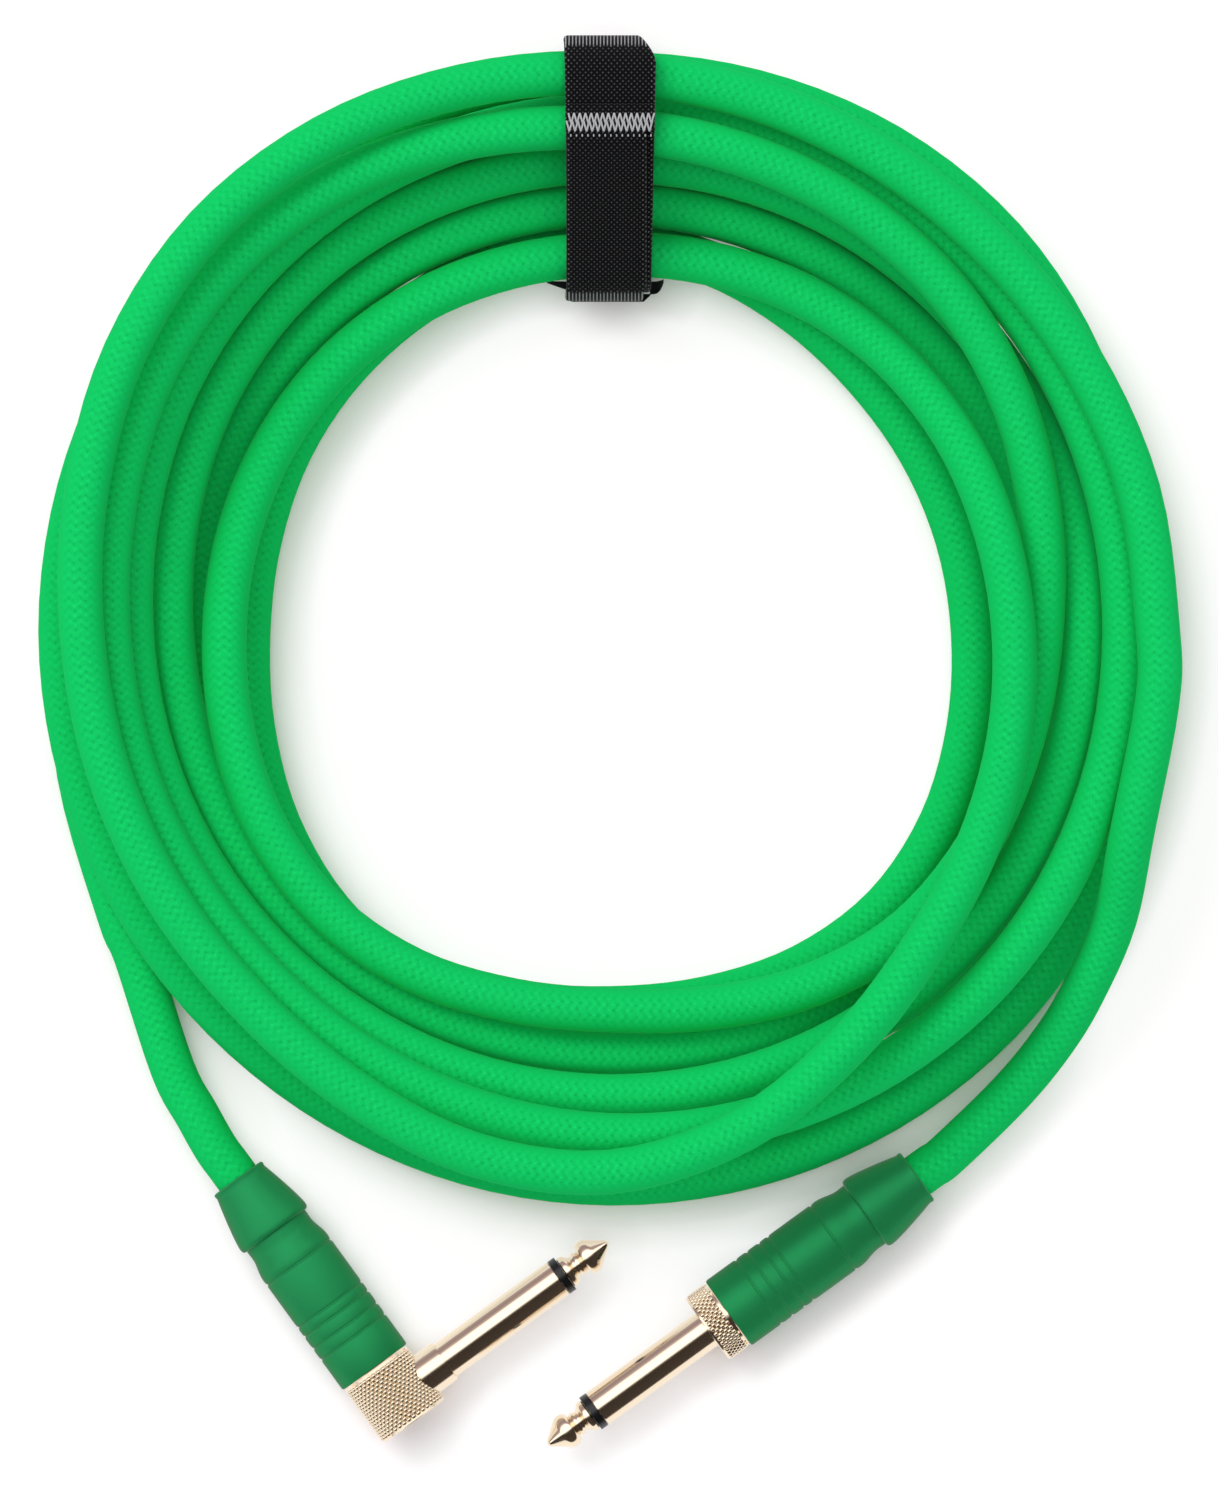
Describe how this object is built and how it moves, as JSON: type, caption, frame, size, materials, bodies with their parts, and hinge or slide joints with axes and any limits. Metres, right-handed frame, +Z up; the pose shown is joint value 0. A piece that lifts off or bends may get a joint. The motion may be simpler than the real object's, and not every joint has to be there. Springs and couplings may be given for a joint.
{
  "type": "instrument cable",
  "caption": "Coiled instrument cable with a straight and a right-angle 6.35 mm jack plug, turned shells that unscrew, and a hook-and-loop cable tie.",
  "frame": {"origin": "on the surface that the cable lies on, under the middle of the box round both plugs and the tie", "axes": "+Z up, +Y from the plugs across the coil to the tie, +X towards the straight plug's side; each plug's axis lies flat, 6.5 mm up"},
  "size_m": [0.1839, 0.2274, 0.0401],
  "materials": {
    "cord_jacket": "clear glossy jacket over a bright green braid",
    "anodised_shell": "satin anodised green",
    "gold_plate": "polished pale gold plate, knurled on the collar and head",
    "black_plastic": "black insulating plastic",
    "inner_metal": "tinned stamped metal",
    "core_insulation": "natural core insulation",
    "copper_screen": "twisted bare copper",
    "liner_paper": "natural liner tube",
    "strap_fabric": "black woven hook-and-loop strap",
    "strap_woven_end": "grey woven strap end"
  },
  "bodies": {
    "cable": {"cord_coil": "cord_jacket", "cord_straight_lead": "cord_jacket", "cord_angled_lead": "cord_jacket", "straight_tip": "gold_plate", "straight_ring": "black_plastic", "straight_rod_tube": "black_plastic", "straight_sleeve": "gold_plate", "straight_collar": "gold_plate", "straight_back_washer": "black_plastic", "straight_tip_lug": "inner_metal", "straight_ground_clamp": "inner_metal", "straight_core_wire": "core_insulation", "straight_screen_tail": "copper_screen", "straight_liner": "liner_paper", "angled_tip": "gold_plate", "angled_ring": "black_plastic", "angled_rod_tube": "black_plastic", "angled_sleeve": "gold_plate", "angled_head": "gold_plate", "angled_back_washer": "black_plastic", "angled_tip_lug": "inner_metal", "angled_ground_clamp": "inner_metal", "angled_core_wire": "core_insulation", "angled_screen_tail": "copper_screen", "angled_liner": "liner_paper", "tie_band": "strap_fabric", "tie_eye": "strap_fabric"},
    "straight_back": {"straight_boot": "anodised_shell"},
    "straight_cover": {"straight_shell": "anodised_shell"},
    "angled_back": {"angled_boot": "anodised_shell"},
    "angled_cover": {"angled_shell": "anodised_shell"},
    "tail": {"tie_tail": "strap_fabric", "tie_end": "strap_woven_end"}
  },
  "joints": [
    {"name": "straight_boot_slide", "type": "slide", "parent": "cable", "child": "straight_back", "axis": [0.809, 0.5878, 0], "range_m": [0, 0.00583]},
    {"name": "straight_shell_turn", "type": "hinge", "parent": "straight_back", "child": "straight_cover", "pos_m": [0.05537, -0.06996, 0.0065], "axis": [0.809, 0.5878, 0], "range_deg": [0, 2100]},
    {"name": "angled_boot_slide", "type": "slide", "parent": "cable", "child": "angled_back", "axis": [-0.5878, 0.809, 0], "range_m": [0, 0.00583]},
    {"name": "angled_shell_turn", "type": "hinge", "parent": "angled_back", "child": "angled_cover", "pos_m": [-0.05433, -0.07026, 0.0065], "axis": [-0.5878, 0.809, 0], "range_deg": [0, 2100]},
    {"name": "tail_peel", "type": "hinge", "parent": "cable", "child": "tail", "pos_m": [0.00577, 0.07174, 0.0129], "axis": [1, 0, 0], "range_deg": [0, 115]}
  ],
  "couplings": [
    {"joint": "straight_shell_turn", "follows": "straight_boot_slide", "rad_per_m": 6283.2},
    {"joint": "angled_shell_turn", "follows": "angled_boot_slide", "rad_per_m": 6283.2}
  ]
}
